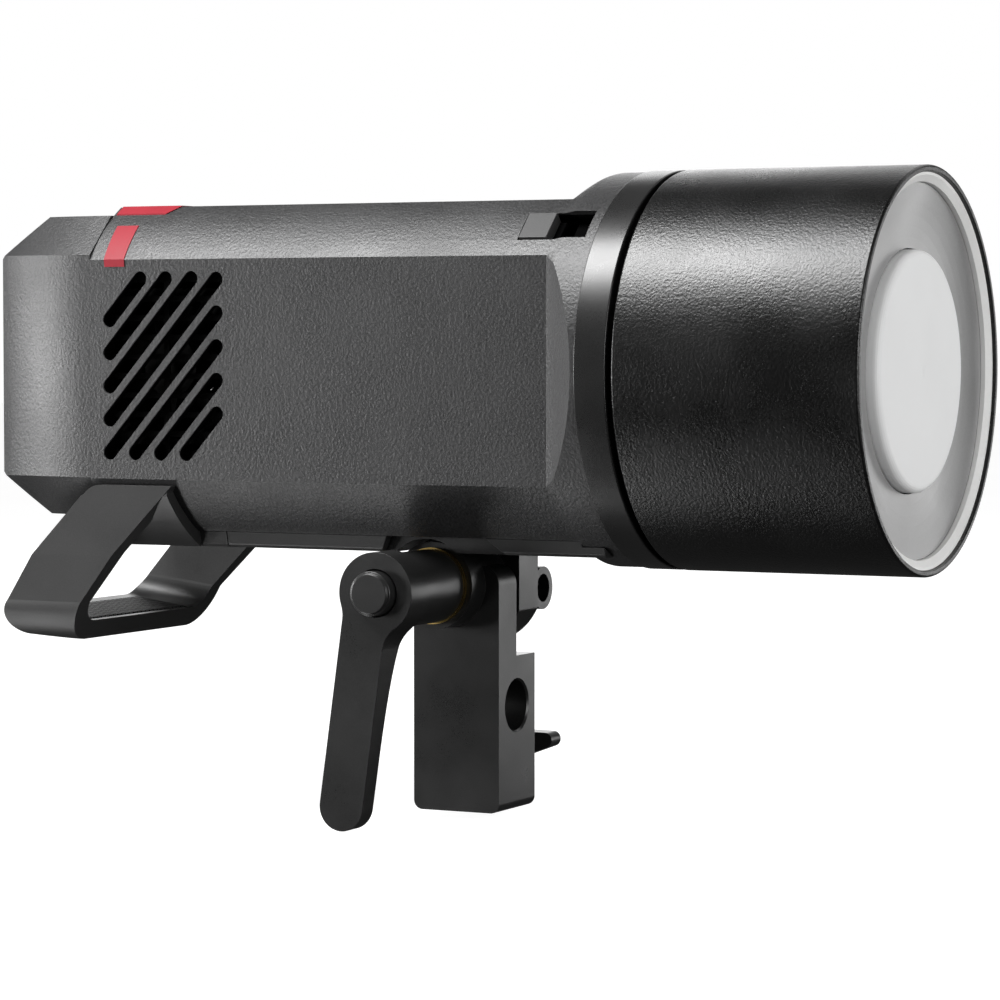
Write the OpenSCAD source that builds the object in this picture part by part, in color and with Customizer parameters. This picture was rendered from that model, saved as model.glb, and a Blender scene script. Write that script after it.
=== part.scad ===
// Battery monolight strobe on its tilting stand bracket.
// Origin: mouth of the vertical 5/8 inch spigot socket, +X out of the lamp, +Z up, near side -Y.

/* [Head] */
// Outside diameter of the round head
barrel_d = 125; // [123:0.5:126]
// Length of the head tube from its front rim
barrel_len = 78.5; // [76:0.5:78.5]
// Diameter of the frosted dome
dome_d = 74; // [66:1:76]
// Outside diameter of the bayonet spigot behind the head
spigot_d = 99.8; // [99.4:0.1:99.8]

/* [Body] */
// Overall length from front rim to control panel
lamp_len = 309.5; // [307:0.5:312]
// Radius of the round body surfaces
shell_r = 61.2; // [61:0.1:61.4]
// Half width across the two side flats
side_y = 50; // [49.5:0.1:50.5]
// Height of the top flat above the lamp axis
top_z = 52.8; // [52.3:0.1:53.3]
// Wall of the body shells
wall = 2.5; // [2:0.1:3]
// Width of one cooling slot
slot_w = 4.9; // [4.2:0.1:5.2]
// Height step from one slot to the next
slot_pitch = 10.7; // [10.2:0.1:11]

/* [Handle] */
// Half width of the grip end
grip_half = 44.5; // [43:0.5:46]
// Depth of the grip below the lamp axis
grip_drop = 89.5; // [88:0.5:91]

/* [Bracket] */
// Bore of both spigot sockets
socket_d = 16.3; // [16.1:0.1:16.6]
// Depth of the vertical socket
socket_depth = 23.5; // [20:0.5:24]
// Bracket length along the lamp
block_x = 30.6; // [29:0.2:32]
// Bracket width across the lamp
block_y = 26; // [25:0.2:27]
// Height of the tilt axis above the socket mouth
tilt_z = 73; // [72:0.5:73.5]
// Bore of the umbrella tube
umbrella_d = 9.2; // [8.5:0.1:9.6]

/* [Lever] */
// Length of the lever from tilt axis to tip
lever_len = 75.6; // [70:0.1:80]
// Backward lean of the lever blade
lever_lean = 8; // [4:1:10]

/* [Controls] */
// Diameter of the control dial
dial_d = 25; // [22:1:27]
// Diameter of the small push buttons
button_d = 7; // [6:0.5:7.5]

/* [Hidden] */
$fn = 96;
nose_x = 155.3;
axis_h = 141.5;
tilt_x = -158.7;
tilt_drop = axis_h - tilt_z;
seam_x = -269.5;
cut_x = -105.5;
collar_end = -90.8;
collar_x = -99.8;
collar_r = 53;
collar_out = 62;
ring_front = -80.4;
ring_out = 62.4;
dish_r = 57.2;
dish_deep = 3.2;
low_z = 52.5;
rail_z = 57.7;
rail_y = 30.6;
rail_back = -230;
rail_front = -95;
fit = 0.05;
thin = 0.15;
over = 1;
cap_top = 50;
cap_low = 48;
cap_bend = 80;
cap_bend_x = -272;
edge_bend = 113;
cap_reach = 150;
cap_side = 13;
cap_bevel = 14;
panel_x = -lamp_len;
panel_t = 2.5;
panel_w = 74;
panel_h = 66;
panel_r = 5;
post_end = 6.2;
bay_y = 25;
bay_x0 = -216;
bay_x1 = -120;
bay_z = 34;
pack_y = 27;
latch_x = -135;
gap = 0.4;
twist = 20;
lug_y0 = 1.2;
lug_y1 = 15;
lug_r = 20.8;
lug_half = 18.9;
lug_neck = [-172.5, -140];
boss_y = -22.5;
boss_r = 14;
cheek_r = 6;
disc_r = 14.8;
washer_t = 1.5;
washer_r = 12.2;
hub_r = 11.7;
blade_y0 = -61;
blade_y1 = -52.5;
blade_r = 7.6;
blade_shift = -2.8;
blade_top_r = 12.7;
blade_fillet = 10;
stud_r = 4;
screw_z = 17.5;
cross_z = 33.7;
notch_z = 49.7;
tube_y = 19.3;
tube_z = 70.3;
tube_r = 7;
vent_x0 = -262;
vent_x1 = -222;
vent_z0 = -26.8;
vent_z1 = 29;
vent_slope = 1.12;
slot_count = 8;
fan_x = -242;
fan_z = 1;
fan_s = 50;
slide_a = 46.5;
slide_x0 = -117.2;
slide_x1 = -94;
slide_w = 12;
button_rows = [[-23, -12], [-23, -28], [23, -12], [23, -28]];
power_at = [31.5, -18];
test_at = [-31.5, -18];
dial_at = [0, -20];
window_at = [0, 15];
window_w = 54;
window_h = 30;
lug_screw_at = [[-169, -20], [-169, 22], [-141.5, -20], [-141.5, 22]];
lug_screw_tip = 55.4;
saddle_x = -268;
saddle_front = -240;
saddle_t = 4;
heel_r = 7;
grip_at = [-292, -81.6];
grip_slope = 8;
pad_box = [-11, 9.5, 31];
pad_rows = 24;
handle_screw_at = [[-239, -20], [-239, 20], [-262, -20], [-262, 20]];
cover_screw_at = [[-33.5, 29.5], [33.5, 29.5], [-33.5, -29.5], [33.5, -29.5]];
can_at = [[-27, 17], [-27, -17], [6, 17], [6, -17]];

// ---- placing and profile helpers ----

// lamp parts are drawn from the centre of the front rim
module lamp() translate([nose_x, 0, axis_h]) children();

// flat shape (Y, Z) pushed along X
module along_x(x0, x1)
  translate([x0, 0, 0]) rotate([90, 0, 90]) linear_extrude(x1 - x0) children();

// flat shape (X, Z) pushed along Y
module along_y(y0, y1)
  translate([0, y1, 0]) rotate([90, 0, 0]) linear_extrude(y1 - y0) children();

// rod lying along X, Y
module rod_x(x0, x1, r) translate([x0, 0, 0]) rotate([0, 90, 0]) cylinder(h = x1 - x0, r = r);

module rod_y(y0, y1, r) translate([0, y1, 0]) rotate([90, 0, 0]) cylinder(h = y1 - y0, r = r);

// tube lying along X
module pipe_x(x0, x1, r_out, r_in)
  difference() {
    rod_x(x0, x1, r_out);
    rod_x(x0 - over, x1 + over, r_in);
  }

// turned shape about X, profile given as [x, radius]
module turned_x(points)
  rotate([0, 90, 0]) rotate_extrude() polygon([for (p = points) [p[1], p[0]]]);

module box(x0, x1, y0, y1, z0, z1)
  translate([x0, y0, z0]) cube([x1 - x0, y1 - y0, z1 - z0]);

// rounded rectangle about the origin
module plate2(w, h, r) {
  square([w - 2 * r, h], center = true);
  square([w, h - 2 * r], center = true);
  for (i = [-1, 1], j = [-1, 1])
    translate([i * (w / 2 - r), j * (h / 2 - r)]) circle(r);
}

// straight bar with round ends between two points
module bar2(a, b, r) {
  d = b - a;
  l = norm(d);
  translate(a) rotate(atan2(d[1], d[0])) {
    translate([0, -r]) square([l, 2 * r]);
    circle(r);
    translate([l, 0]) circle(r);
  }
}

// tapered bar hanging from a circle r1 at the origin to a circle r2 below it
module taper2(r1, r2, l) {
  a = asin((r1 - r2) / l);
  nx = cos(a);
  nz = -sin(a);
  circle(r1);
  translate([0, -l]) circle(r2);
  polygon([[r1 * nx, r1 * nz], [r2 * nx, r2 * nz - l], [-r2 * nx, r2 * nz - l], [-r1 * nx, r1 * nz]]);
}

// ---- body sections ----

module body2(inset) intersection() {
  circle(shell_r - inset);
  translate([-side_y + inset, -low_z + inset])
    square([2 * (side_y - inset), low_z + top_z - 2 * inset]);
}

module body_outside() difference() {
  union() {
    rod_x(seam_x, collar_end, shell_r);
    turned_x([[cut_x, 0], [cut_x, shell_r - 0.1], [cut_x + 4, collar_out],
        [collar_end, collar_out], [collar_end, 0]]);
  }
  for (s = [-1, 1])
    translate([0, 0, -shell_r - over]) linear_extrude(2 * shell_r + 2 * over)
      polygon([[seam_x - over, s * side_y], [cut_x, s * side_y], [cut_x + 3.4, s * (side_y + 2.4)],
        [collar_end - 1, s * (shell_r + over)], [seam_x - over, s * (shell_r + over)]]);
  along_y(-shell_r, shell_r)
    polygon([[seam_x - over, top_z], [cut_x, top_z],
        [cut_x + 5.6, shell_r + over], [seam_x - over, shell_r + over]]);
  box(seam_x - over, cut_x + 3, -shell_r, shell_r, -shell_r - over, -low_z);
}

module body_hollow() {
  along_x(seam_x - over, cut_x + 4) body2(wall);
  rod_x(cut_x + 3.5, collar_x + over, collar_r - 5);
  rod_x(collar_x, collar_end + over, collar_r);
}

// one cooling slot per step, cut off by the window of the vent field
module vent_slots2() {
  for (k = [1:slot_count]) {
    c = vent_z0 + (5 - k) * slot_pitch;
    xa = max(vent_x0, vent_x0 + (vent_z0 - c) / vent_slope);
    xb = min(vent_x1, vent_x0 + (vent_z1 - c) / vent_slope);
    bar2([xa, c + vent_slope * (xa - vent_x0)], [xb, c + vent_slope * (xb - vent_x0)], slot_w / 2);
  }
}

module slider_frame() rotate([-slide_a, 0, 0]) children();

module slider_pocket() slider_frame()
  box(slide_x0, slide_x1, -shell_r - over, -shell_r + 4.6, -slide_w / 2, slide_w / 2);

module body_shell() difference() {
  body_outside();
  body_hollow();
  for (p = handle_screw_at)
    translate([p[0], p[1], -low_z - over]) cylinder(h = 8, r = 2 + fit);
  for (p = lug_screw_at)
    translate([p[0], p[1], -low_z - over]) cylinder(h = 8, r = 2 + fit);
}

module left_shell() color("#3a3b3d") lamp() difference() {
  intersection() {
    body_shell();
    box(seam_x - over, 0, -70, 0, -70, 70);
  }
  along_y(-side_y - over, -side_y + wall + over) vent_slots2();
  slider_pocket();
  side_strip(0.5 + fit);
  top_strip(0.5 + fit, 0);
}

module right_shell() color("#3a3b3d") lamp() difference() {
  intersection() {
    body_shell();
    box(seam_x - over, 0, 0, 70, -70, 70);
  }
  along_y(side_y - wall - over, side_y + over) vent_slots2();
  box(bay_x0 + 1.6, bay_x1 - 1.6, side_y - wall - over, side_y + over, -bay_z + 1.6, bay_z - 1.6);
  top_strip(0.5 + fit, 0);
}

// plan view of one side: straight at the seam, bending gently inward to the panel
module cap_side2(inset, s) {
  translate([cap_bend_x, s * (cap_bend - side_y)]) circle(cap_bend - inset);
  translate([cap_bend_x, -side_y + inset]) square([40, 2 * (side_y - inset)]);
}

// bevel along one long edge, bending in step with the side
module cap_edge(tilt, z, inset) translate([cap_bend_x, -side_y, z]) rotate([tilt, 0, 0]) {
  translate([0, edge_bend, -cap_reach]) cylinder(h = 2 * cap_reach, r = edge_bend - inset);
  translate([0, inset, -cap_reach]) cube([40, cap_reach, 2 * cap_reach]);
}

module cap_round_box(inset) {
  x = -lamp_len + inset;
  x1 = seam_x + inset;
  t = cap_top - inset;
  b = cap_low - inset;
  c = cap_bevel - inset * 0.4;
  intersection() {
    translate([0, 0, -80]) linear_extrude(160) intersection() {
      cap_side2(inset, 1);
      cap_side2(inset, -1);
    }
    along_y(-60, 60) polygon([[x, t - c], [x + c, t], [x1, t], [x1, -b], [x + c, -b], [x, c - b]]);
    cap_edge(-45, cap_top - cap_side, inset);
    cap_edge(45, cap_side - cap_low, inset);
    mirror([0, 1, 0]) cap_edge(-45, cap_top - cap_side, inset);
    mirror([0, 1, 0]) cap_edge(45, cap_side - cap_low, inset);
  }
}

module rear_cover() color("#3d3e40") lamp() difference() {
  union() {
    difference() {
      cap_round_box(0);
      cap_round_box(wall);
      along_x(panel_x - over, panel_x + wall + over) plate2(panel_w, panel_h, panel_r);
    }
    for (p = cover_screw_at) translate([0, p[0], p[1]]) rod_x(panel_x + 1, panel_x + post_end, 5);
  }
  along_x(panel_x - over, panel_x + panel_t) plate2(panel_w, panel_h, panel_r);
  for (p = cover_screw_at)
    translate([0, p[0], p[1]]) rod_x(panel_x - over, panel_x + post_end + over, 1.5 + fit);
  translate([-286, side_y - 8, 10]) rotate([-90, 0, 0]) cylinder(h = 8 + over, r = 3.6);
  translate([-286, side_y + over, -6]) rotate([90, 0, 0])
    linear_extrude(8) plate2(9.6, 4.2, 1.6);
}

module control_panel() color("#18191b") lamp() difference() {
  along_x(panel_x + 0.3, panel_x + panel_t) plate2(panel_w - thin, panel_h - thin, panel_r);
  translate([0, window_at[0], window_at[1]])
    along_x(panel_x - over, panel_x + panel_t + over) plate2(window_w, window_h, 2);
  for (p = cover_screw_at)
    translate([0, p[0], p[1]]) rod_x(panel_x - over, panel_x + panel_t + over, 1.5 + fit);
  for (p = button_rows)
    translate([0, p[0], p[1]]) rod_x(panel_x - over, panel_x + panel_t + over, button_d / 2 + 0.06);
  for (p = [power_at, test_at])
    translate([0, p[0], p[1]]) rod_x(panel_x - over, panel_x + panel_t + over, 4.56);
  translate([0, dial_at[0], dial_at[1]]) rod_x(panel_x - over, panel_x + panel_t + over, 6 + fit);
}

module display_window() color("#0a1220") lamp()
  translate([0, window_at[0], window_at[1]]) along_x(panel_x + 0.5, panel_x + 2.1)
    plate2(window_w - thin, window_h - thin, 2);

module display_board() color("#1d5a33") lamp() {
  box(panel_x + 6.4, panel_x + 8, -38, 38, -32, 34);
  translate([0, window_at[0], window_at[1]]) along_x(panel_x + 2.8, panel_x + 6.4)
    plate2(window_w - 2, window_h - 2, 1);
}

module panel_button(at, d, head) lamp() translate([0, at[0], at[1]]) {
  rod_x(panel_x - head, panel_x + panel_t + 0.2, d / 2);
  rod_x(panel_x + panel_t + 0.2, panel_x + panel_t + 1.4, d / 2 + 1);
  rod_x(panel_x + panel_t + 1.4, panel_x + 5.2, 1.2);
}

module mode_button() color("#2a2b2d") panel_button(button_rows[0], button_d, 0.9);

module menu_button() color("#2a2b2d") panel_button(button_rows[1], button_d, 0.9);

module group_button() color("#2a2b2d") panel_button(button_rows[2], button_d, 0.9);

module sync_button() color("#2a2b2d") panel_button(button_rows[3], button_d, 0.9);

module power_button() color("#9c9da0") panel_button(power_at, 9, 1.1);

module test_button() color("#c03038") panel_button(test_at, 9, 1.1);

module control_dial() color("#252628") lamp() translate([0, dial_at[0], dial_at[1]]) difference() {
  union() {
    rod_x(panel_x - 8, panel_x - 0.5, dial_d / 2);
    rod_x(panel_x - 8.6, panel_x - 8, dial_d / 2 - 0.8);
    rod_x(panel_x - 0.5 - thin, panel_x + panel_t + 0.3, 6);
    rod_x(panel_x + panel_t + 0.3, panel_x + panel_t + 1.5, 7);
  }
  rod_x(panel_x - 10, panel_x + 6, 4 + 0.06);
  for (i = [0:23])
    rotate([i * 15, 0, 0]) translate([0, dial_d / 2 + 0.5, 0]) rod_x(panel_x - 10, panel_x - 1.5, 1);
}

module dial_button() color("#8f9092") lamp() translate([0, dial_at[0], dial_at[1]]) {
  rod_x(panel_x - 9.6, panel_x + 5.2, 4);
}

module sync_jack() color("#26272a") lamp() translate([-286, 0, 10]) difference() {
  union() {
    rod_y(side_y - 15, side_y - 1.4, 3.5);
    rod_y(side_y - 15, side_y - wall - 2.8, 5);
  }
  rod_y(side_y - 12, side_y + over, 1.78);
}

module usb_port() color("#b5b7ba") lamp() translate([-286, 0, -6]) difference() {
  along_y(side_y - 10, side_y - 1.8) plate2(9.2, 3.8, 1.4);
  along_y(side_y - 8.5, side_y + over) plate2(8.4, 3, 1.1);
}

// ---- trim ----

module strip_skin(deep) {
  difference() {
    intersection() {
      rod_x(-268, -245, shell_r + 0.25);
      box(-268, -245, -side_y - 0.25, 0, 0, top_z);
    }
    intersection() {
      rod_x(-269, -244, shell_r - deep);
      box(-269, -244, -side_y + deep, over, -over, top_z + over);
    }
  }
}

module side_strip(deep) intersection() {
  strip_skin(deep);
  along_y(-70, 0) polygon([[-263.7, 33], [-256.2, 33], [-256.9, 46.5], [-265, 46.5]]);
}

module red_side_accent() color("#d2404c") lamp() side_strip(0.5);

// wraps from the top flat over the near top corner
module top_strip(deep, shrink) intersection() {
  along_x(seam_x + over + shrink, -246 - shrink) difference() {
    body2(-0.3);
    body2(deep);
  }
  along_y(-35.2 + shrink, 29 - shrink)
    polygon([[seam_x, 50 + shrink], [-250 - shrink, 50 + shrink], [-246 - shrink, top_z],
      [-246 - shrink, top_z + over], [seam_x, top_z + over]]);
}

module red_top_tab() color("#b53a45") lamp() top_strip(0.5, fit);

module vent_screens() color("#101112") lamp() for (s = [-1, 1]) {
  ya = s < 0 ? -side_y + wall + 0.1 : side_y - wall - 0.9;
  difference() {
    box(vent_x0 - 5, vent_x1 + 4.5, ya, ya + 0.8, vent_z0 - 5, vent_z1 + 5);
    for (i = [0:1], j = [0:8])
      box(vent_x0 + i * 21, vent_x0 + 19 + i * 21, ya - over, ya + 2,
          vent_z0 + 0.8 + j * 6.2, vent_z0 + 5.2 + j * 6.2);
  }
}

// ---- underside ----

module recess2(grow) polygon([[-170.2 - grow, -low_z + over], [-173 - grow, -rail_z - 0.2],
  [-129.5 + grow, -rail_z - 0.2], [-137.9 + grow, -low_z + over]]);

module bottom_rail() color("#2a2b2d") lamp() difference() {
  along_x(rail_back + thin, rail_front)
    polygon([[-rail_y, -low_z], [-rail_y + 0.8, -rail_z + 1], [-rail_y + 2.2, -rail_z],
      [rail_y - 2.2, -rail_z], [rail_y - 0.8, -rail_z + 1], [rail_y, -low_z]]);
  along_y(-40, 40) recess2(0.3);
  rod_x(cut_x + 3 - thin, rail_front + over, collar_out + thin);
}

module tilt_frame() translate([tilt_x, 0, -tilt_drop]) children();

module tilt_lug() color("#27282a") lamp() difference() {
  union() {
    intersection() {
      along_y(-rail_y + 3.6, rail_y - 1) recess2(0);
      box(-180, -120, -40, 40, -rail_z, -low_z);
    }
    tilt_frame() intersection() {
      union() {
        rod_y(lug_y0, lug_y1, lug_r);
        box(-lug_half, lug_half, lug_y0, lug_y1, 0, tilt_drop);
      }
      box(-lug_half, lug_half, lug_y0, lug_y1, -lug_r - over, tilt_drop - rail_z - 0.1);
    }
    box(lug_neck[0], lug_neck[1], lug_y0, lug_y1, -rail_z - 0.6, -rail_z + over);
    translate([0, tube_y, tube_z - axis_h]) rod_x(-171, -140, tube_r);
  }
  tilt_frame() {
    rod_y(lug_y0 - over, lug_y1 + 8, stud_r + fit);
    intersection() {
      union() {
        rod_y(-40, lug_y0, boss_r + 1.2);
        rod_y(-block_y / 2 - 0.7, lug_y0, 20.2);
      }
      box(-40, 40, -50, lug_y0, -30, 15.1);
    }
  }
  translate([0, tube_y, tube_z - axis_h]) rod_x(-172, -139, umbrella_d / 2);
  for (p = lug_screw_at)
    translate([p[0], p[1], -lug_screw_tip - thin]) cylinder(h = 8, r = 2 + fit);
}

module cap_screw(at, top) translate([at[0], at[1], 0]) difference() {
  union() {
    translate([0, 0, -rail_z + 0.2]) cylinder(h = 1.9, r = 3.4);
    translate([0, 0, -rail_z + 2]) cylinder(h = top + rail_z - 2, r = 2);
  }
  translate([0, 0, -rail_z]) cylinder(h = 1.4, r = 1.5, $fn = 6);
}

// these come down from inside the body into the lug block
module lug_screws() color("#6e7073") lamp() for (p = lug_screw_at)
  translate([p[0], p[1], 0]) difference() {
    union() {
      translate([0, 0, wall - low_z + 0.05]) cylinder(h = 2.6, r = 3.4);
      translate([0, 0, -lug_screw_tip]) cylinder(h = lug_screw_tip - low_z + wall + over, r = 2);
    }
    translate([0, 0, wall - low_z + 1.2]) cylinder(h = 2, r = 1.5, $fn = 6);
  }

module handle_screws() color("#6e7073") lamp() for (p = handle_screw_at) cap_screw(p, -48.5);

module cover_screws() color("#6e7073") lamp() for (p = cover_screw_at)
  translate([0, p[0], p[1]]) difference() {
    union() {
      rod_x(panel_x - 0.6, panel_x + 0.3, 2.6);
      rod_x(panel_x + 0.1, panel_x + 6, 1.5);
    }
    translate([panel_x - 0.7, 0, 0]) rotate([0, 90, 0]) cylinder(h = 0.8, r = 1.2, $fn = 6);
  }

// ---- handle ----

// outline seen from the side
module handle_band2() {
  polygon([[-238, -37.3], [-262.5, -60], [-277.5, -76.5], [-284, -grip_drop],
    [-300.7, -grip_drop + 1.5], [-306, -grip_drop + 13.1], [-293.8, -60.8], [-278.8, -46.8],
    [-272.6, -41], [-265, -37.3]]);
  translate([-300.7, -grip_drop + 1.5 + heel_r]) circle(heel_r);
  translate([-264.6, -46.3]) circle(9);
}

// outline seen from behind
module handle_ring2() {
  polygon([[-51.6, -37.3], [51.6, -37.3], [48, -61], [grip_half, -76], [-grip_half, -76], [-48, -61]]);
  translate([0, -(grip_drop + 62) / 2]) plate2(2 * grip_half, grip_drop - 62, 13);
}

module grip_frame() translate([grip_at[0], 0, grip_at[1]]) rotate([0, grip_slope, 0]) children();

// space for the fingers, closed above by the saddle
module handle_opening() grip_frame() along_x(-40, 80) {
  polygon([[-45, 50], [-38.5, 8], [38.5, 8], [45, 50]]);
  translate([0, 10]) plate2(77, 20, 8);
}

// band hugging the round underside of the body
module saddle2() intersection() {
  circle(shell_r + saddle_t);
  translate([-side_y - 1, -rail_z]) square([2 * side_y + 2, rail_z - 38]);
}

module handle() color("#303133") lamp() difference() {
  union() {
    difference() {
      union() {
        difference() {
          intersection() {
            along_x(-315, -230) handle_ring2();
            along_y(-60, 60) handle_band2();
          }
          handle_opening();
        }
        along_x(saddle_x, saddle_front) saddle2();
      }
      along_x(-320, -225) intersection() {
        circle(shell_r + thin);
        translate([-side_y - thin, -low_z - thin]) square([2 * side_y + 2 * thin, 2 * low_z]);
      }
    }
    along_x(saddle_x, rail_back) polygon([[-rail_y, -low_z - thin], [-rail_y + 0.8, -rail_z + 1],
        [-rail_y + 2.2, -rail_z], [rail_y - 2.2, -rail_z],
        [rail_y - 0.8, -rail_z + 1], [rail_y, -low_z - thin]]);
  }
  for (p = handle_screw_at) translate([p[0], p[1], 0]) {
    translate([0, 0, -rail_z - over]) cylinder(h = 8, r = 2 + fit);
    translate([0, 0, -rail_z - over]) cylinder(h = 3.2, r = 3.6);
  }
  grip_frame() box(pad_box[0], pad_box[1], -pad_box[2], pad_box[2], -1.2, over);
}

module grip_pad() color("#161718") lamp() grip_frame() {
  step = (2 * pad_box[2] - 2) / pad_rows;
  box(pad_box[0] + thin, pad_box[1] - thin, thin - pad_box[2], pad_box[2] - thin, -1.2, -0.3);
  for (i = [0:pad_rows - 1])
    box(pad_box[0] + 0.8, pad_box[1] - 0.8,
        1.3 - pad_box[2] + i * step, 0.7 - pad_box[2] + (i + 1) * step, -0.3 - thin, 0.35);
}

// ---- inside ----

module mount_ring() color("#1b1c1e") lamp() difference() {
  rod_x(collar_end, ring_front, ring_out);
  rod_x(collar_end - over, ring_front + over, spigot_d / 2 + 0.1);
  for (i = [0:2])
    rotate([i * 120 + twist, 0, 0])
      box(collar_end - over, ring_front + over, spigot_d / 2 - 2, 53, -7.6, 7.6);
}

module contact_block() color("#2b2c2f") lamp() difference() {
  union() {
    rod_x(-118, -114, 46);
    box(-114, -106, -24, 24, -9, 9);
  }
  for (i = [-1, 0, 1]) translate([0, i * 14, 0]) rod_x(-112, -100, 3);
  for (i = [0:5]) rotate([i * 60, 0, 0]) translate([0, 38, 0]) rod_x(-119, -113, 4);
}

module main_board() color("#1d5a33") lamp() {
  box(-263, -124, 22.4, 24, -38, 38);
  box(-258, -238, 16, 22.4, -30, -12);
  box(-232, -222, 10, 22.4, 8, 30);
}

module capacitor_cans() color("#31415e") lamp() for (p = can_at)
  translate([0, p[0], p[1]]) {
    rod_x(-200, -128, 15.6);
    rod_x(-203, -200, 14);
  }

module fan_housing() color("#151617") lamp() translate([fan_x, 0, fan_z]) difference() {
  union() {
    difference() {
      along_y(-46, -31) plate2(fan_s, fan_s, 4);
      rod_y(-47, -30, 23.6);
    }
    rod_y(-34, -31, 10);
    for (i = [0:2])
      rotate([0, i * 120 + 30, 0]) box(9, 24.4, -33.5, -31, -1.2, 1.2);
  }
  rod_y(-40, -30, 1.5 + fit);
  for (i = [-1, 1], j = [-1, 1])
    translate([i * 21, 0, j * 21]) rod_y(-47, -30, 1.7);
}

module fan_impeller() color("#232426") lamp() translate([fan_x, 0, fan_z]) {
  rod_y(-45, -34.5, 9.6);
  rod_y(-34.6, -31.2, 1.5);
  for (i = [0:6])
    rotate([0, i * 360 / 7, 0]) translate([9, -39.8, 0]) rotate([38, 0, 0])
      translate([0, -0.6, -5.2]) cube([13.4, 1.2, 10.4]);
}

module battery_bay() color("#2b2c2e") lamp() difference() {
  box(bay_x0, bay_x1, bay_y, side_y - wall - thin, -bay_z, bay_z);
  box(bay_x0 + 1.5, bay_x1 - 1.5, bay_y + 1.5, side_y, -bay_z + 1.5, bay_z - 1.5);
}

module battery_pack() color("#2f3032") lamp() difference() {
  translate([(bay_x0 + bay_x1) / 2, 0, 0]) along_y(pack_y, side_y)
    plate2(bay_x1 - bay_x0 - 3.6, 2 * bay_z - 3.6, 2);
  translate([latch_x, 0, 0]) along_y(side_y - 6, side_y + over) plate2(15, 33, 3);
  box(-206, -142, side_y - 0.4, side_y + over, -22, 22);
  for (i = [-1, 1]) box(-213, -208, pack_y - over, pack_y + 1.5, i * 12 - 3, i * 12 + 3);
}

module battery_terminals() color("#c9a24a") lamp() for (i = [-1, 1])
  box(-212.6, -208.4, bay_y + 1.5, pack_y + 0.9, i * 12 - 2.2, i * 12 + 2.2);

module battery_latch() color("#46474a") lamp() translate([latch_x, 0, 0]) difference() {
  along_y(side_y - 3.4, side_y + 0.6) plate2(14.6, 32.6, 2.8);
  for (i = [0:5]) box(-5, 5, side_y, side_y + over, -10.7 + i * 3.8, -9 + i * 3.8);
}

module lock_slider() color("#3a3b3d") lamp() slider_frame() {
  box(slide_x0 + 0.4, slide_x0 + 9.9, -shell_r - 0.4, -shell_r + 4.4, -slide_w / 2 + 0.4, slide_w / 2 - 0.4);
  box(slide_x0 + 9.5, slide_x0 + 12.4, -shell_r + 3, -shell_r + 4.4, -slide_w / 2 + 1.4, slide_w / 2 - 1.4);
}

// ---- head ----

module head_barrel() color("#1a1b1c") lamp() difference() {
  turned_x([[0, barrel_d / 2 - 2], [0, barrel_d / 2 - 0.5], [-0.5, barrel_d / 2],
    [-barrel_len + 0.5, barrel_d / 2], [-barrel_len, barrel_d / 2 - 0.5], [-barrel_len, barrel_d / 2 - 2]]);
}

module lip_ring() color("#f2f2f0") lamp()
  turned_x([[-1.2, barrel_d / 2 - 2 - thin], [-1.3, barrel_d / 2 - 3], [-2.6, barrel_d / 2 - 5.1],
    [-4, barrel_d / 2 - 5.2], [-4, barrel_d / 2 - 3.4],
    [-9, barrel_d / 2 - 3.4], [-9, barrel_d / 2 - 2 - thin]]);

module reflector_dish() color("#9a9b9c") lamp()
  turned_x(concat(
    [for (i = [0:6]) [-4.1 - dish_deep * sin(i * 15), dish_r - (dish_r - 0.4 - dome_d / 2) * i / 6]],
    [for (i = [6:-1:0]) [-5.4 - dish_deep * sin(i * 15), dish_r - (dish_r - 0.4 - dome_d / 2) * i / 6]]));

module glass_dome() color("#eef1f2") lamp() {
  r = dome_d / 2;
  turned_x(concat(
    [[-24, r]], [for (i = [0:5]) [-5.2 + 2.2 * sin(i * 18), r - 2.2 + 2.2 * cos(i * 18)]],
    [[-2.4, 20], [-2.1, 0], [-4.1, 0], [-4.4, 20], [-5.2, r - 2.4], [-24, r - 2.4]]));
}

module flash_tube() color("#dfe4e8") lamp() {
  translate([-13, 0, 0]) rotate([0, 90, 0]) rotate_extrude(angle = 320) translate([21, 0]) circle(3.4);
  for (a = [0, 320]) rotate([-a, 0, 0]) translate([0, 0, -21]) rod_x(-26, -13, 3.2);
}

module modeling_led() color("#e8d98c") lamp() {
  rod_x(-21.5, -20, 12);
  rod_x(-20, -18.6, 7.5);
}

module led_heat_sink() color("#8d9093") lamp() {
  rod_x(-36, -21.5, 11);
  rod_x(-58.9, -33.2, 12);
  for (i = [0:11]) rotate([i * 30, 0, 0]) box(-58.9, -34, 11, 30, -0.8, 0.8);
}

module tube_base() color("#d8d4c8") lamp() difference() {
  rod_x(-33, -24, 34.4);
  rod_x(-34, -23, 11.2);
  for (a = [0, 320]) rotate([-a, 0, 0]) translate([0, 0, -21]) rod_x(-26.2, -20, 3.3);
}

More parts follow.
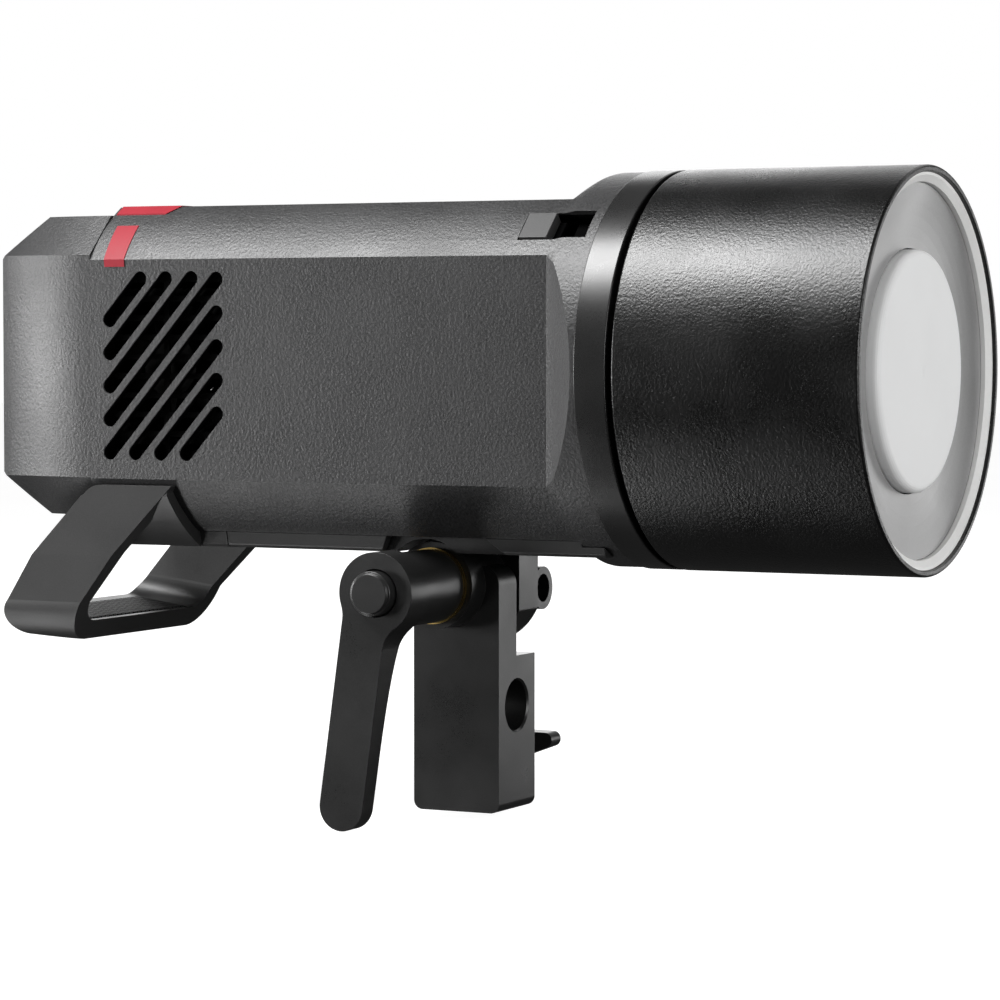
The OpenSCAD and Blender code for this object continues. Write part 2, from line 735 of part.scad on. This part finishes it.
module head_base() color("#1f2022") lamp() difference() {
  union() {
    rod_x(-62, -59, barrel_d / 2 - 2 - thin);
    pipe_x(-59 - thin, -9.2, barrel_d / 2 - 2 - thin, barrel_d / 2 - 4);
    rod_x(-99, -61, spigot_d / 2);
    pipe_x(-36, -24.5, 40, 34.5);
    for (i = [0:3]) rotate([i * 90 + 45, 0, 0]) box(-36, -33, 38, barrel_d / 2 - 3, -4, 4);
    pipe_x(-60, -33, 40, 36);
    for (i = [0:2])
      rotate([i * 120, 0, 0]) intersection() {
        pipe_x(-95, -91, 52.4, 48);
        box(-98, -90, 0, 60, -7, 7);
      }
  }
  rod_x(-97, -63, 46);
  rod_x(-63, -58, 31);
  for (i = [-1, 0, 1]) translate([0, i * 14, 0]) rod_x(-102, -95, 3);
}

// ---- stand bracket ----

module bracket_side2() {
  translate([-block_x / 2, 3]) square([block_x, notch_z - 3]);
  translate([-block_x / 2 + 3, 0]) square([block_x - 6, 10]);
  for (s = [-1, 1]) translate([s * (block_x / 2 - 3), 3]) circle(3);
}

module stand_bracket() color("#2b2c2e") difference() {
  union() {
    along_y(-block_y / 2, block_y / 2) bracket_side2();
    along_y(-block_y / 2, -gap) {
      translate([-block_x / 2, notch_z - over]) square([block_x, tilt_z - notch_z + over]);
      translate([nose_x + tilt_x, tilt_z]) circle(boss_r);
      translate([block_x / 2 - cheek_r, tilt_z]) circle(cheek_r);
      translate([nose_x + tilt_x, tilt_z - over])
        square([block_x / 2 - cheek_r - nose_x - tilt_x, cheek_r + over]);
    }
    translate([nose_x + tilt_x, 0, tilt_z]) rod_y(boss_y, -block_y / 2 + over, boss_r);
  }
  translate([nose_x + tilt_x, 0, tilt_z]) rod_y(boss_y - over, over, stud_r + fit);
  translate([0, 0, -over]) cylinder(h = socket_depth + over, d = socket_d);
  translate([0, 0, cross_z]) {
    rod_x(-block_x, block_x, socket_d / 2);
    for (s = [-1, 1]) scale([s, 1, 1]) translate([block_x / 2 - 0.6, 0, 0]) rotate([0, 90, 0])
      cylinder(h = 0.6 + thin, r1 = socket_d / 2, r2 = socket_d / 2 + 0.6 + thin);
  }
  translate([0, 0, screw_z]) rod_y(3, block_y, 4 + fit);
}

module friction_disc() color("#77797c") translate([nose_x + tilt_x, 0, tilt_z]) difference() {
  rod_y(-gap + fit, lug_y0 - 0.1, disc_r);
  rod_y(-2, 3, stud_r + fit);
}

module lever_place() translate([nose_x + tilt_x, 0, tilt_z]) children();

module brass_washer() color("#c2a04e") lever_place() difference() {
  rod_y(boss_y - washer_t, boss_y - 0.1, washer_r);
  rod_y(boss_y - 3, boss_y + over, stud_r + fit);
}

// lever outline hanging from the hub disc
module lever_blade2() {
  x0 = blade_shift - blade_r;
  x1 = blade_shift + blade_r;
  z1 = blade_r - lever_len;
  circle(blade_top_r);
  translate([x0, z1]) square([2 * blade_r, -10 - z1]);
  translate([blade_shift, z1]) circle(blade_r);
  difference() {
    polygon([[x1, -17.2], [8.28, -9.62], [0, 0], [0, -17.2]]);
    translate([x1 + blade_fillet, -17.2]) circle(blade_fillet);
  }
  difference() {
    polygon([[x0, -10], [-11.4, -5.57], [0, 0], [0, -10]]);
    translate([x0 - blade_fillet, -10]) circle(blade_fillet);
  }
}

module clamp_lever() color("#2f3032") lever_place() difference() {
  union() {
    rod_y(blade_y1, boss_y - washer_t - 0.1, hub_r);
    rotate([0, lever_lean, 0]) intersection() {
      along_y(blade_y0, blade_y1 + 12) lever_blade2();
      along_x(-20, 20) polygon(concat([[blade_y0 - over, 14], [blade_y1 + 3, 14], [blade_y1 + 3, -2]],
        [for (d = [11:5:76]) [blade_y1 - 1.5 + 11 * exp((4 - d) / 13), -d]],
        [[blade_y1 - 1.5, -80], [blade_y0 - over, -80]]));
    }
  }
  rod_y(blade_y0 - over, -20, stud_r + fit);
  rod_y(blade_y0 - over, blade_y0 + 5, 7.5);
}

module lever_cap() color("#232426") lever_place() {
  rod_y(blade_y0 - 3.6, blade_y0 + 4.8, 7);
  rod_y(blade_y0 - 4.4, blade_y0 - 3.6, 6.2);
}

module tilt_stud() color("#8b8d90") lever_place() rod_y(blade_y0 + 4.9, lug_y1 - 0.5, stud_r);

module spigot_screw() color("#8b8d90") translate([0, 0, screw_z]) rod_y(8.9, 21, 4);

module spigot_knob() color("#232426") translate([0, 0, screw_z]) difference() {
  union() {
    rod_y(15.6, 24, 7);
    along_y(22, 29) {
      for (a = [-80, 100]) rotate(a) taper2(5.2, 2.5, 14.8);
      circle(7);
    }
  }
  rod_y(14, 21.1, 4 + fit);
}

left_shell();
right_shell();
rear_cover();
control_panel();
display_window();
display_board();
bottom_rail();
tilt_lug();
lug_screws();
handle();
grip_pad();
handle_screws();
cover_screws();
red_side_accent();
red_top_tab();
vent_screens();
mount_ring();
contact_block();
main_board();
capacitor_cans();
fan_housing();
fan_impeller();
battery_bay();
battery_pack();
battery_terminals();
battery_latch();
lock_slider();
control_dial();
dial_button();
power_button();
test_button();
mode_button();
menu_button();
group_button();
sync_button();
sync_jack();
usb_port();
head_barrel();
lip_ring();
reflector_dish();
glass_dome();
flash_tube();
modeling_led();
led_heat_sink();
tube_base();
head_base();
stand_bracket();
friction_disc();
brass_washer();
clamp_lever();
lever_cap();
tilt_stud();
spigot_screw();
spigot_knob();
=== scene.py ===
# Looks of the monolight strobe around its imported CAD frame. Metres; +X along the beam, +Z up, near side -Y.
import math

import bmesh
import bpy
from mathutils import Matrix, Vector

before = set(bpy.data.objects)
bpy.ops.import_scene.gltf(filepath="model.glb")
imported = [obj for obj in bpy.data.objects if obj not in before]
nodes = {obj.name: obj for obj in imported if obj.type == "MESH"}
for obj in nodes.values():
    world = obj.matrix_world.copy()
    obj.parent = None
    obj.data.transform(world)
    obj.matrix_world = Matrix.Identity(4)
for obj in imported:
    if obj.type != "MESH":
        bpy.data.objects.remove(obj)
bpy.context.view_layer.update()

MM = 0.001
AXIS_Z = 141.5 * MM
WHITE = (1, 1, 1, 1)

# view from the near side: turned towards the beam and dipped below level, in degrees
CAMERA_AT = (0.5243, -1.0330, 0.15195)
CAMERA_TURN = 26.503
CAMERA_DIP = 2.598
CAMERA_LENS = 129.4
CAMERA_SENSOR = 36

# inside of the body shells: everything deeper than this is unlit and gets painted shade, near black
INNER_FLAT_Y = 49.4 * MM
INNER_FLAT_HALF_Z = 34.5 * MM
# pocket of the lock slider on the body's upper near slope; painted shade fills it
POCKET_RADIUS = 60.4 * MM
POCKET_LOW_Z = 177 * MM
POCKET_Y = -34 * MM
POCKET_X = (38.5 * MM, 62.5 * MM)
# the slider's thin tongue starts here; from here on it gets painted shade
TONGUE_X = 48.2 * MM

# slow variation of tone and gloss over a moulded surface, per metre
CLOUD_SCALE = 38
# width of the lighter line along every edge, convex or concave
EDGE_LINE_WIDTH = 0.5 * MM
GRIP_GROOVE_PITCH = 2.6 * MM

# edges sharper than this are rounded; flats closer than the other angle are merged first
ROUND_ABOVE = math.radians(28)
MERGE_BELOW = math.radians(0.6)

FLOOR_DROP = 2.6 * MM
FLOOR_HALF = 6

scene = bpy.context.scene


# ---------- camera and lights ----------

def make_camera():
    data = bpy.data.cameras.new("camera")
    data.sensor_width = CAMERA_SENSOR
    data.lens = CAMERA_LENS
    data.clip_start = 0.05
    data.clip_end = 50
    cam = bpy.data.objects.new("camera", data)
    turn = Matrix.Rotation(math.radians(CAMERA_TURN), 4, "Z")
    tilt = Matrix.Rotation(math.radians(90 - CAMERA_DIP), 4, "X")
    cam.matrix_world = Matrix.Translation(CAMERA_AT) @ turn @ tilt
    scene.collection.objects.link(cam)
    scene.camera = cam


def area_light(name, at, aim, size, power):
    data = bpy.data.lights.new(name, "AREA")
    data.shape = "RECTANGLE"
    data.size, data.size_y = size
    data.energy = power
    lamp = bpy.data.objects.new(name, data)
    lamp.location = Vector(at)
    lamp.rotation_mode = "QUATERNION"
    lamp.rotation_quaternion = (Vector(aim) - Vector(at)).to_track_quat("-Z", "Z")
    scene.collection.objects.link(lamp)


# ---------- node material helper ----------

class Graph:
    """A small helper for one procedural material."""

    def __init__(self, name):
        self.mat = bpy.data.materials.new(name)
        self.mat.use_nodes = True
        self.tree = self.mat.node_tree
        self.tree.nodes.clear()
        self.out = self.tree.nodes.new("ShaderNodeOutputMaterial")
        self.bsdf = self.tree.nodes.new("ShaderNodeBsdfPrincipled")
        self.link(self.bsdf.outputs[0], self.out.inputs[0])
        self.coord = self.tree.nodes.new("ShaderNodeTexCoord").outputs["Object"]

    def link(self, a, b):
        self.tree.links.new(a, b)

    def put(self, socket, value):
        if hasattr(value, "is_output"):
            self.link(value, socket)
        else:
            socket.default_value = value

    def noise(self, scale, detail=3, rough=0.55, vector=None):
        n = self.tree.nodes.new("ShaderNodeTexNoise")
        n.inputs["Scale"].default_value = scale
        n.inputs["Detail"].default_value = detail
        n.inputs["Roughness"].default_value = rough
        self.link(vector or self.coord, n.inputs["Vector"])
        return n.outputs["Fac"]

    def voronoi(self, scale):
        n = self.tree.nodes.new("ShaderNodeTexVoronoi")
        n.inputs["Scale"].default_value = scale
        self.link(self.coord, n.inputs["Vector"])
        return n.outputs["Distance"]

    def ramp(self, value, lo, hi, a=0.0, b=1.0):
        n = self.tree.nodes.new("ShaderNodeMapRange")
        self.link(value, n.inputs["Value"])
        n.inputs["From Min"].default_value = lo
        n.inputs["From Max"].default_value = hi
        n.inputs["To Min"].default_value = a
        n.inputs["To Max"].default_value = b
        return n.outputs[0]

    def math(self, op, a, b=0.0):
        n = self.tree.nodes.new("ShaderNodeMath")
        n.operation = op
        self.put(n.inputs[0], a)
        self.put(n.inputs[1], b)
        return n.outputs[0]

    def mix(self, fac, a, b):
        n = self.tree.nodes.new("ShaderNodeMix")
        n.data_type = "RGBA"
        self.put(n.inputs[0], fac)
        self.put(n.inputs[6], a)
        self.put(n.inputs[7], b)
        return n.outputs[2]

    def bump(self, height, strength, distance):
        n = self.tree.nodes.new("ShaderNodeBump")
        n.inputs["Strength"].default_value = strength
        n.inputs["Distance"].default_value = distance
        self.link(height, n.inputs["Height"])
        return n.outputs[0]

    def stretched(self, sx, sy, sz):
        n = self.tree.nodes.new("ShaderNodeMapping")
        n.inputs["Scale"].default_value = (sx, sy, sz)
        self.link(self.coord, n.inputs["Vector"])
        return n.outputs[0]

    def xyz(self):
        n = self.tree.nodes.new("ShaderNodeSeparateXYZ")
        self.link(self.coord, n.inputs[0])
        return n.outputs

    def below(self, value, limit):
        return self.math("LESS_THAN", value, limit)

    def above(self, value, limit):
        return self.math("GREATER_THAN", value, limit)

    def both(self, *flags):
        out = flags[0]
        for f in flags[1:]:
            out = self.math("MULTIPLY", out, f)
        return out

    def paint_shade(self, mask):
        """Painted shade for deep unlit hollows: near black and matt where the mask is 1."""
        for socket, dark in (("Base Color", (0.0012, 0.0012, 0.0013, 1)), ("Roughness", 0.9),
                             ("Specular IOR Level", 0.03)):
            target = self.bsdf.inputs[socket]
            source = target.links[0].from_socket if target.is_linked else target.default_value
            if socket == "Base Color":
                value = self.mix(mask, source, dark)
            else:
                n = self.tree.nodes.new("ShaderNodeMix")
                self.put(n.inputs[0], mask)
                self.put(n.inputs[2], source)
                n.inputs[3].default_value = dark
                value = n.outputs[0]
            self.link(value, target)

    def edges(self, radius):
        """1 on convex or concave edges, 0 on flats."""
        bev = self.tree.nodes.new("ShaderNodeBevel")
        bev.samples = 4
        bev.inputs["Radius"].default_value = radius
        geo = self.tree.nodes.new("ShaderNodeNewGeometry")
        dot = self.tree.nodes.new("ShaderNodeVectorMath")
        dot.operation = "DOT_PRODUCT"
        self.link(bev.outputs[0], dot.inputs[0])
        self.link(geo.outputs["Normal"], dot.inputs[1])
        return self.ramp(dot.outputs["Value"], 0.995, 0.85)


def rgb(v, tint=(1, 1, 1)):
    return (v * tint[0], v * tint[1], v * tint[2], 1)


def vent_shade(g):
    """Painted-shade mask: 1 on slot walls, on everything seen through the side openings and in the slider's
    pocket.
    """
    x, y, z = g.xyz()[:3]
    side = g.math("ABSOLUTE", y)
    height = g.math("ABSOLUTE", g.math("SUBTRACT", z, AXIS_Z))
    slots = g.both(g.below(side, INNER_FLAT_Y), g.below(height, INNER_FLAT_HALF_Z))
    radius = g.math("SQRT", g.math("ADD", g.math("POWER", side, 2.0), g.math("POWER", height, 2.0)))
    pocket = g.both(g.below(radius, POCKET_RADIUS), g.above(z, POCKET_LOW_Z), g.below(y, POCKET_Y),
                    g.above(x, POCKET_X[0]), g.below(x, POCKET_X[1]))
    return g.math("MAXIMUM", slots, pocket)


def tongue_shade(g):
    """Painted-shade mask: 1 on the slider's thin tongue, which lies in the pocket's shade."""
    return g.above(g.xyz()[0], TONGUE_X)


def moulded(name, tone, rough, grain=2200, bump=0.35, depth=0.00006, speckle=0.25, spec=0.5,
            tint=(1, 1, 1), edge=0.0, metal=0.0, coat=0.0, shade_mask=None, cloudy=0.22):
    """Textured plastic or powder coat: eroded grain, speckle, slow variation of gloss, a lighter line along
    edges, and painted shade in masked hollows.
    """
    g = Graph(name)
    fine = g.noise(grain, 3, 0.6)
    pits = g.voronoi(grain * 0.55)
    cloud = g.noise(CLOUD_SCALE, 3, 0.5)
    height = g.math("ADD", fine, g.math("MULTIPLY", pits, 0.5))
    base = g.mix(g.ramp(fine, 0.3, 0.72), rgb(tone * (1 - speckle), tint), rgb(tone * (1 + speckle), tint))
    base = g.mix(g.ramp(cloud, 0.35, 0.7, 0, cloudy), base, rgb(tone * 1.35, tint))
    # lighter colour along convex and concave edges alike
    if edge:
        base = g.mix(g.math("MULTIPLY", g.edges(EDGE_LINE_WIDTH), edge), base, rgb(min(1, tone * 2.4), tint))
    g.put(g.bsdf.inputs["Base Color"], base)
    g.put(g.bsdf.inputs["Roughness"], g.ramp(g.math("ADD", cloud, g.math("MULTIPLY", fine, 0.6)), 0.4, 1.1,
                                              rough - 0.07, rough + 0.09))
    g.put(g.bsdf.inputs["Normal"], g.bump(height, bump, depth))
    g.bsdf.inputs["Specular IOR Level"].default_value = spec
    g.bsdf.inputs["Metallic"].default_value = metal
    if coat:
        g.bsdf.inputs["Coat Weight"].default_value = coat
        g.bsdf.inputs["Coat Roughness"].default_value = 0.2
    # painted shade: near black and matt where the mask is 1
    if shade_mask:
        g.paint_shade(shade_mask(g))
    return g.mat


def knurled_rubber(name):
    """Grip pad: rows of small blocks cut by fine cross grooves; the grooves get painted shade, darker than
    the block tops.
    """
    g = Graph(name)
    x = g.xyz()[0]
    wave = g.math("SINE", g.math("MULTIPLY", x, 2 * math.pi / GRIP_GROOVE_PITCH))
    fine = g.noise(3000, 3, 0.6)
    groove = g.ramp(wave, -0.6, 0.1)
    # painted shade: darker colour in the grooves, where the relief is low
    base = g.mix(groove, rgb(0.004), rgb(0.02))
    g.put(g.bsdf.inputs["Base Color"], g.mix(g.ramp(fine, 0.3, 0.7, 0, 0.4), base, rgb(0.03)))
    g.put(g.bsdf.inputs["Roughness"], g.ramp(fine, 0.3, 0.7, 0.6, 0.75))
    g.put(g.bsdf.inputs["Normal"], g.bump(g.math("ADD", groove, g.math("MULTIPLY", fine, 0.1)), 0.8, 0.0004))
    return g.mat


def turned_metal(name, color, rough, axis, ring=3500, along=60, bump=0.15):
    """Machined metal with fine tool lines round an axis."""
    g = Graph(name)
    lines = g.noise(1.0, 2, 0.5, g.stretched(*(ring if a == axis else along for a in "xyz")))
    cloud = g.noise(120, 3, 0.6)
    g.put(g.bsdf.inputs["Base Color"], g.mix(g.ramp(cloud, 0.3, 0.75), tuple(c * 0.8 for c in color) + (1,),
                                             tuple(min(1, c * 1.12) for c in color) + (1,)))
    g.put(g.bsdf.inputs["Roughness"], g.ramp(lines, 0.3, 0.7, rough - 0.06, rough + 0.1))
    g.put(g.bsdf.inputs["Normal"], g.bump(lines, bump, 0.00004))
    g.bsdf.inputs["Metallic"].default_value = 1.0
    return g.mat


MATERIALS = {}
# the shell gets painted shade in its vent slots and in the slider's pocket
MATERIALS["shell"] = moulded("shell_grain", tone=0.029, rough=0.38, grain=1500, bump=0.9, depth=0.00014,
                             speckle=0.55, tint=(1.0, 1.0, 1.02), shade_mask=vent_shade)
MATERIALS["cover"] = moulded("cover_grain", tone=0.030, rough=0.36, grain=1500, bump=0.8, depth=0.00013,
                             speckle=0.5, tint=(1.0, 1.0, 1.02))
MATERIALS["trim"] = moulded("trim_satin", tone=0.022, rough=0.42, grain=2600, bump=0.2, depth=0.00004,
                            speckle=0.15)
# the slider's thin tongue gets painted shade
MATERIALS["slider"] = moulded("slider_satin", tone=0.040, rough=0.46, grain=2300, bump=0.3, speckle=0.2,
                              shade_mask=tongue_shade)
MATERIALS["ring"] = moulded("ring_satin", tone=0.014, rough=0.27, grain=3000, bump=0.15, depth=0.00003,
                            speckle=0.12)
MATERIALS["barrel"] = moulded("barrel_paint", tone=0.0036, rough=0.28, grain=1700, bump=0.85, depth=0.00012,
                              speckle=0.5, cloudy=0.08)
MATERIALS["handle"] = moulded("handle_grain", tone=0.030, rough=0.38, grain=2400, bump=0.3, depth=0.00005,
                              speckle=0.2, edge=0.25)
MATERIALS["rubber"] = moulded("jack_rubber", tone=0.012, rough=0.72, grain=3000, bump=0.3, speckle=0.2,
                              spec=0.3)
MATERIALS["knurl"] = knurled_rubber("grip_knurl")
MATERIALS["bracket"] = moulded("bracket_coat", tone=0.011, rough=0.30, grain=2600, bump=0.3, depth=0.00005,
                               speckle=0.18, spec=0.55, edge=0.25)
MATERIALS["lever"] = moulded("lever_satin", tone=0.013, rough=0.32, grain=2600, bump=0.22, depth=0.00004,
                             speckle=0.16, edge=0.2)
MATERIALS["panel"] = moulded("panel_gloss", tone=0.010, rough=0.18, grain=900, bump=0.02, depth=0.00002,
                             speckle=0.08, coat=0.4)
MATERIALS["control"] = moulded("control_satin", tone=0.020, rough=0.40, grain=2600, bump=0.2, depth=0.00004,
                               speckle=0.15, edge=0.2)
MATERIALS["red"] = moulded("red_gloss", tone=0.27, rough=0.5, grain=900, bump=0.05, depth=0.00003,
                           speckle=0.05, spec=0.25, tint=(1.0, 0.05, 0.09))
MATERIALS["key_red"] = moulded("red_key", tone=0.4, rough=0.35, grain=1200, bump=0.08, depth=0.00003,
                               speckle=0.06, tint=(1.0, 0.08, 0.07))
MATERIALS["key_grey"] = moulded("grey_key", tone=0.30, rough=0.38, grain=1800, bump=0.12, depth=0.00003,
                                speckle=0.08)
MATERIALS["white"] = moulded("lip_white", tone=0.9, rough=0.45, grain=1200, bump=0.05, depth=0.00002,
                             speckle=0.02, tint=(1, 1, 0.985))
MATERIALS["dish"] = moulded("dish_metal", tone=0.42, rough=0.42, grain=1500, bump=0.3, speckle=0.05,
                            metal=0.55)
MATERIALS["board"] = moulded("board_mask", tone=0.12, rough=0.35, grain=700, bump=0.25, speckle=0.3,
                             tint=(0.2, 1.0, 0.4))
MATERIALS["sleeve"] = moulded("can_sleeve", tone=0.12, rough=0.3, grain=500, bump=0.05, depth=0.00002,
                              speckle=0.06, tint=(0.45, 0.65, 1.0))
MATERIALS["fan"] = moulded("fan_plastic", tone=0.002, rough=0.7, grain=1800, bump=0.12, depth=0.00003,
                           speckle=0.2, spec=0.08)
MATERIALS["screen"] = moulded("screen_paint", tone=0.0015, rough=0.8, grain=1800, bump=0.2, depth=0.00004,
                              speckle=0.2, spec=0.05)
MATERIALS["battery"] = moulded("battery_grain", tone=0.030, rough=0.50, bump=0.4, depth=0.00007, edge=0.15)
MATERIALS["ceramic"] = moulded("base_ceramic", tone=0.68, rough=0.6, grain=900, bump=0.15, depth=0.00004,
                               speckle=0.05, spec=0.4, tint=(1, 0.97, 0.88))
MATERIALS["phosphor"] = moulded("led_phosphor", tone=0.75, rough=0.4, grain=1500, bump=0.2, depth=0.00004,
                                speckle=0.06, tint=(1, 0.82, 0.2))
MATERIALS["steel_y"] = turned_metal("steel_turned", color=(0.30, 0.30, 0.31), rough=0.34, axis="y")
MATERIALS["screw"] = turned_metal("screw_black", color=(0.09, 0.09, 0.095), rough=0.36, axis="z")
MATERIALS["port"] = turned_metal("port_bright", color=(0.6, 0.6, 0.6), rough=0.28, axis="y")
MATERIALS["sink"] = turned_metal("sink_milled", color=(0.5, 0.5, 0.52), rough=0.38, axis="x")
MATERIALS["gold"] = turned_metal("gold_plate", color=(0.78, 0.55, 0.22), rough=0.25, axis="z")
MATERIALS["brass"] = turned_metal("brass_turned", color=(0.62, 0.44, 0.15), rough=0.28, axis="y")
MATERIALS["cast"] = moulded("head_cast", tone=0.05, rough=0.45, grain=1500, bump=0.3, speckle=0.15,
                            metal=0.6)


def glass(name, color, rough, weight, shade=0.96):
    """Frosted, clear or black glass; weight is how much light goes through."""
    g = Graph(name)
    fine = g.noise(1800, 2, 0.5)
    cloud = g.noise(30, 2, 0.5)
    darker = tuple(c * shade for c in color) + (1,)
    g.put(g.bsdf.inputs["Base Color"], g.mix(g.ramp(cloud, 0.3, 0.7), darker, tuple(color) + (1,)))
    g.put(g.bsdf.inputs["Roughness"], g.ramp(fine, 0.3, 0.7, rough - 0.02, rough + 0.04))
    g.put(g.bsdf.inputs["Normal"], g.bump(fine, 0.08, 0.00003))
    g.bsdf.inputs["Transmission Weight"].default_value = weight
    g.bsdf.inputs["IOR"].default_value = 1.46
    return g.mat


MATERIALS["dome"] = glass("dome_frost", color=(0.96, 0.965, 0.965), rough=0.5, weight=0.0)
MATERIALS["tube"] = glass("tube_glass", color=(0.9, 0.94, 0.96), rough=0.08, weight=0.85)
MATERIALS["display"] = glass("display_glass", color=(0.012, 0.016, 0.024), rough=0.08, weight=0.0)

# which pieces each material covers
PIECES = {
    "shell": ["left_shell", "right_shell"],
    "cover": ["rear_cover"],
    "trim": ["bottom_rail", "battery_bay", "contact_block"],
    "ring": ["mount_ring"],
    "handle": ["handle"],
    "rubber": ["sync_jack"],
    "knurl": ["grip_pad"],
    "slider": ["lock_slider"],
    "panel": ["control_panel"],
    "display": ["display_window"],
    "board": ["display_board", "main_board"],
    "red": ["red_side_accent", "red_top_tab"],
    "screen": ["vent_screens"],
    "screw": ["lug_screws", "handle_screws", "cover_screws"],
    "sleeve": ["capacitor_cans"],
    "fan": ["fan_housing", "fan_impeller"],
    "battery": ["battery_pack", "battery_latch"],
    "gold": ["battery_terminals"],
    "control": ["control_dial", "mode_button", "menu_button", "group_button", "sync_button"],
    "key_grey": ["power_button", "dial_button"],
    "key_red": ["test_button"],
    "port": ["usb_port"],
    "barrel": ["head_barrel"],
    "cast": ["head_base"],
    "white": ["lip_ring"],
    "dish": ["reflector_dish"],
    "dome": ["glass_dome"],
    "tube": ["flash_tube"],
    "phosphor": ["modeling_led"],
    "sink": ["led_heat_sink"],
    "ceramic": ["tube_base"],
    "bracket": ["stand_bracket", "tilt_lug"],
    "steel_y": ["friction_disc", "tilt_stud", "spigot_screw"],
    "brass": ["brass_washer"],
    "lever": ["clamp_lever", "lever_cap", "spigot_knob"],
}
for key, names in PIECES.items():
    for name in names:
        nodes[name].data.materials.clear()
        nodes[name].data.materials.append(MATERIALS[key])


# edge rounding of the CAD pieces that carry over, in mm
EDGE = {"left_shell": 0.4, "right_shell": 0.4, "rear_cover": 1.0, "handle": 1.9, "stand_bracket": 1.2,
        "tilt_lug": 0.6, "clamp_lever": 1.8, "lever_cap": 0.5, "spigot_knob": 0.8, "bottom_rail": 0.3,
        "lock_slider": 0.25, "control_panel": 0.3, "control_dial": 0.3, "battery_pack": 0.5,
        "battery_latch": 0.4, "dial_button": 0.4, "head_barrel": 0.3, "mount_ring": 0.4}


def soften(name, width):
    """Merge the flat facets of a CAD piece, round its edges and smooth its shading."""
    piece = nodes[name]
    weld = piece.modifiers.new("weld", "WELD")
    weld.merge_threshold = 1e-6
    merge = piece.modifiers.new("dissolve", "DECIMATE")
    merge.decimate_type = "DISSOLVE"
    merge.angle_limit = MERGE_BELOW
    rounding = piece.modifiers.new("round", "BEVEL")
    rounding.width = width * MM
    rounding.segments = 3
    rounding.limit_method = "ANGLE"
    rounding.angle_limit = ROUND_ABOVE
    rounding.miter_outer = "MITER_ARC"
    rounding.use_clamp_overlap = True
    normals = piece.modifiers.new("normals", "WEIGHTED_NORMAL")
    normals.keep_sharp = False
    normals.weight = 60
    for face in piece.data.polygons:
        face.use_smooth = True


for node_name, edge_width in EDGE.items():
    soften(node_name, edge_width)


# ---------- floor, world and lights ----------

def make_floor():
    """Pale paper that shines by itself and neither lights the object nor mirrors in it."""
    bm = bmesh.new()
    bmesh.ops.create_grid(bm, x_segments=1, y_segments=1, size=FLOOR_HALF)
    me = bpy.data.meshes.new("floor")
    bm.to_mesh(me)
    bm.free()
    floor = bpy.data.objects.new("floor", me)
    floor.location = (0, 0, -FLOOR_DROP)
    scene.collection.objects.link(floor)
    g = Graph("floor_paper")
    cloud = g.noise(3, 2, 0.5)
    g.put(g.bsdf.inputs["Base Color"], g.mix(cloud, rgb(0.30), rgb(0.34)))
    g.bsdf.inputs["Roughness"].default_value = 0.9
    g.bsdf.inputs["Specular IOR Level"].default_value = 0.0
    g.put(g.bsdf.inputs["Emission Color"], g.mix(cloud, rgb(0.97), WHITE))
    g.bsdf.inputs["Emission Strength"].default_value = 0.97
    me.materials.append(g.mat)
    floor.visible_diffuse = False
    floor.visible_glossy = False
    floor.visible_shadow = False


def make_world(seen=1.0, light=0.04):
    """White behind the object for the camera, and a weak fill for everything else."""
    world = bpy.data.worlds.new("studio")
    world.use_nodes = True
    tree = world.node_tree
    tree.nodes.clear()
    out = tree.nodes.new("ShaderNodeOutputWorld")
    blend = tree.nodes.new("ShaderNodeMixShader")
    path = tree.nodes.new("ShaderNodeLightPath")
    tree.links.new(path.outputs["Is Camera Ray"], blend.inputs[0])
    for slot, strength in ((1, light), (2, seen)):
        back = tree.nodes.new("ShaderNodeBackground")
        back.inputs["Color"].default_value = WHITE
        back.inputs["Strength"].default_value = strength
        tree.links.new(back.outputs[0], blend.inputs[slot])
    tree.links.new(blend.outputs[0], out.inputs[0])
    scene.world = world


make_camera()
make_floor()
make_world()

area_light("top_box", at=(-0.35, -0.40, 0.96), aim=(0.0, -0.03, 0.17), size=(0.60, 0.42), power=18)
area_light("key_left", at=(-1.30, -0.74, 0.18), aim=(-0.14, 0, 0.15), size=(0.26, 0.85), power=15.5)
area_light("front_box", at=(1.25, -0.28, 0.33), aim=(0.15, 0, 0.14), size=(0.7, 0.8), power=9.5)
area_light("low_box", at=(-0.62, -0.40, -0.66), aim=(-0.05, 0, 0.12), size=(0.8, 0.2), power=3.4)
area_light("back_right", at=(0.62, 1.15, 0.12), aim=(0, 0, 0.06), size=(0.35, 0.5), power=1.4)
area_light("rim_top", at=(0.2, 0.9, 0.75), aim=(0.05, 0, 0.19), size=(1.0, 0.3), power=1.5)
area_light("far_fill", at=(-0.75, 1.20, 0.45), aim=(-0.05, 0, 0.12), size=(0.9, 0.9), power=6)
scene.view_settings.view_transform = "Standard"
